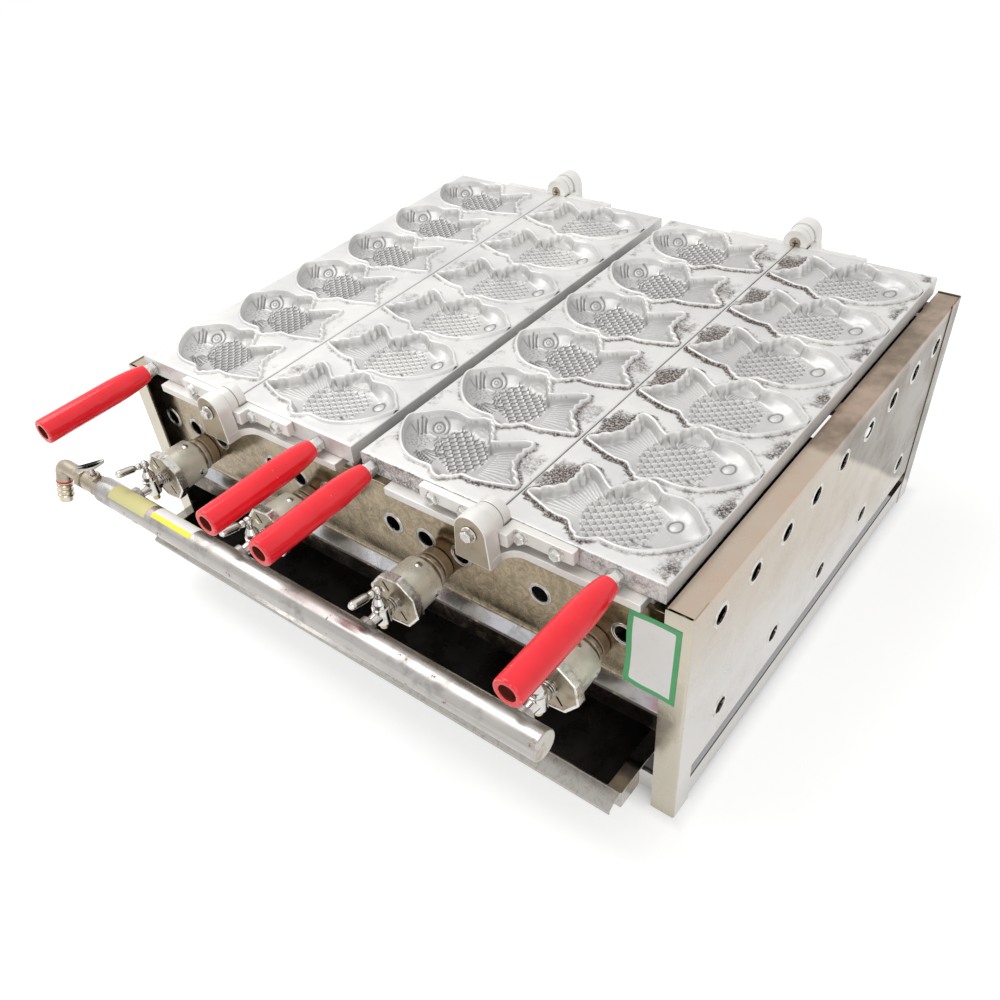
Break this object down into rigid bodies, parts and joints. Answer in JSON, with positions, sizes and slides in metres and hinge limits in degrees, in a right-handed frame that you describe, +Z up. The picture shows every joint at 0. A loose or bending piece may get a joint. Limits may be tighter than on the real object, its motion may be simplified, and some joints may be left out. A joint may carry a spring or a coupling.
{
  "type": "double-sided gas griddle for fish-shaped cakes",
  "caption": "Box-framed gas griddle with paired mould plates that fold over on hinges, gripped handles, gas burners with cocks on a manifold, and a pull-out drip tray.",
  "frame": {"origin": "centre of the bounding box's footprint, on the plane that the frame's posts stand on", "axes": "+X to the right along the front, -Y out of the front towards the user, +Z up; the plates hinge about lines along Y"},
  "size_m": [0.7934, 0.7858, 0.3185],
  "materials": {
    "cast_plate": "bare cast aluminium, seasoned dark with soot and oil round the cavities",
    "cast_frame": "bare sand-cast aluminium, heat stained",
    "stainless": "bright stainless sheet with straw and brown heat tint on its top edges",
    "tray_steel": "stainless sheet, oily and dark inside, bright at the lip",
    "galvanised": "dull galvanised steel with a greenish cast",
    "burner_iron": "raw cast iron with brown rust",
    "chrome": "polished chrome plate",
    "zinc_steel": "zinc-plated steel",
    "manifold_paint": "silver-grey paint on steel pipe, scuffed, with rust spots",
    "nickel": "dull nickel plate on brass",
    "red_grip": "glossy red, worn at the rims"
  },
  "bodies": {
    "frame": {"side_panel_left": "stainless", "side_panel_right": "stainless", "front_panel": "stainless", "rear_panel": "stainless", "base_rail_front": "stainless", "base_rail_rear": "stainless", "burner_rest": "stainless", "left_unit_bearer_front": "cast_frame", "left_unit_hinge_pin_front": "zinc_steel", "left_unit_bearer_rear": "cast_frame", "left_unit_hinge_pin_rear": "zinc_steel", "right_unit_bearer_front": "cast_frame", "right_unit_hinge_pin_front": "zinc_steel", "right_unit_bearer_rear": "cast_frame", "right_unit_hinge_pin_rear": "zinc_steel", "burner_1": "burner_iron", "mixer_1": "galvanised", "gas_cock_1": "chrome", "burner_2": "burner_iron", "mixer_2": "galvanised", "gas_cock_2": "chrome", "burner_3": "burner_iron", "mixer_3": "galvanised", "gas_cock_3": "chrome", "burner_4": "burner_iron", "mixer_4": "galvanised", "gas_cock_4": "chrome", "gas_manifold": "manifold_paint", "master_cock": "nickel", "hose_elbow": "nickel"},
    "left_unit_left_mould": {"left_unit_left_plate": "cast_plate", "left_unit_left_strap_front": "cast_plate", "left_unit_left_strap_rear": "cast_plate", "left_unit_left_handle_rod": "zinc_steel", "left_unit_left_grip": "red_grip"},
    "left_unit_right_mould": {"left_unit_right_plate": "cast_plate", "left_unit_right_strap_front": "cast_plate", "left_unit_right_strap_rear": "cast_plate", "left_unit_right_handle_rod": "zinc_steel", "left_unit_right_grip": "red_grip"},
    "right_unit_left_mould": {"right_unit_left_plate": "cast_plate", "right_unit_left_strap_front": "cast_plate", "right_unit_left_strap_rear": "cast_plate", "right_unit_left_handle_rod": "zinc_steel", "right_unit_left_grip": "red_grip"},
    "right_unit_right_mould": {"right_unit_right_plate": "cast_plate", "right_unit_right_strap_front": "cast_plate", "right_unit_right_strap_rear": "cast_plate", "right_unit_right_handle_rod": "zinc_steel", "right_unit_right_grip": "red_grip"},
    "air_shutter_1": {"air_shutter_1": "galvanised"},
    "cock_lever_1": {"cock_lever_1": "chrome"},
    "air_shutter_2": {"air_shutter_2": "galvanised"},
    "cock_lever_2": {"cock_lever_2": "chrome"},
    "air_shutter_3": {"air_shutter_3": "galvanised"},
    "cock_lever_3": {"cock_lever_3": "chrome"},
    "air_shutter_4": {"air_shutter_4": "galvanised"},
    "cock_lever_4": {"cock_lever_4": "chrome"},
    "master_lever": {"master_lever": "chrome"},
    "drip_tray": {"drip_tray": "tray_steel"}
  },
  "joints": [
    {"name": "left_unit_left_fold", "type": "hinge", "parent": "frame", "child": "left_unit_left_mould", "pos_m": [-0.15135, 0.05205, 0.301], "axis": [0, 1, 0], "range_deg": [0, 180]},
    {"name": "left_unit_right_fold", "type": "hinge", "parent": "frame", "child": "left_unit_right_mould", "pos_m": [-0.15135, 0.05205, 0.301], "axis": [0, 1, 0], "range_deg": [-180, 0]},
    {"name": "right_unit_left_fold", "type": "hinge", "parent": "frame", "child": "right_unit_left_mould", "pos_m": [0.19895, 0.05205, 0.301], "axis": [0, 1, 0], "range_deg": [0, 180]},
    {"name": "right_unit_right_fold", "type": "hinge", "parent": "frame", "child": "right_unit_right_mould", "pos_m": [0.19895, 0.05205, 0.301], "axis": [0, 1, 0], "range_deg": [-180, 0]},
    {"name": "cock_lever_1_turn", "type": "hinge", "parent": "frame", "child": "cock_lever_1", "pos_m": [-0.25513, -0.32285, 0.208], "axis": [0, 0, 1], "range_deg": [0, 90]},
    {"name": "air_shutter_1_turn", "type": "hinge", "parent": "frame", "child": "air_shutter_1", "pos_m": [-0.25513, -0.29995, 0.1865], "axis": [0, 1, 0], "range_deg": [0, 30]},
    {"name": "cock_lever_2_turn", "type": "hinge", "parent": "frame", "child": "cock_lever_2", "pos_m": [-0.07427, -0.32285, 0.208], "axis": [0, 0, 1], "range_deg": [0, 90]},
    {"name": "air_shutter_2_turn", "type": "hinge", "parent": "frame", "child": "air_shutter_2", "pos_m": [-0.07427, -0.29995, 0.1865], "axis": [0, 1, 0], "range_deg": [0, 30]},
    {"name": "cock_lever_3_turn", "type": "hinge", "parent": "frame", "child": "cock_lever_3", "pos_m": [0.10994, -0.32285, 0.208], "axis": [0, 0, 1], "range_deg": [0, 90]},
    {"name": "air_shutter_3_turn", "type": "hinge", "parent": "frame", "child": "air_shutter_3", "pos_m": [0.10994, -0.29995, 0.1865], "axis": [0, 1, 0], "range_deg": [0, 30]},
    {"name": "cock_lever_4_turn", "type": "hinge", "parent": "frame", "child": "cock_lever_4", "pos_m": [0.29415, -0.32285, 0.208], "axis": [0, 0, 1], "range_deg": [0, 90]},
    {"name": "air_shutter_4_turn", "type": "hinge", "parent": "frame", "child": "air_shutter_4", "pos_m": [0.29415, -0.29995, 0.1865], "axis": [0, 1, 0], "range_deg": [0, 30]},
    {"name": "master_lever_turn", "type": "hinge", "parent": "frame", "child": "master_lever", "pos_m": [-0.3112, -0.35885, 0.2035], "axis": [0, 0, 1], "range_deg": [0, 90]},
    {"name": "drip_tray_slide", "type": "slide", "parent": "frame", "child": "drip_tray", "axis": [0, -1, 0], "range_m": [0, 0.3]}
  ]
}
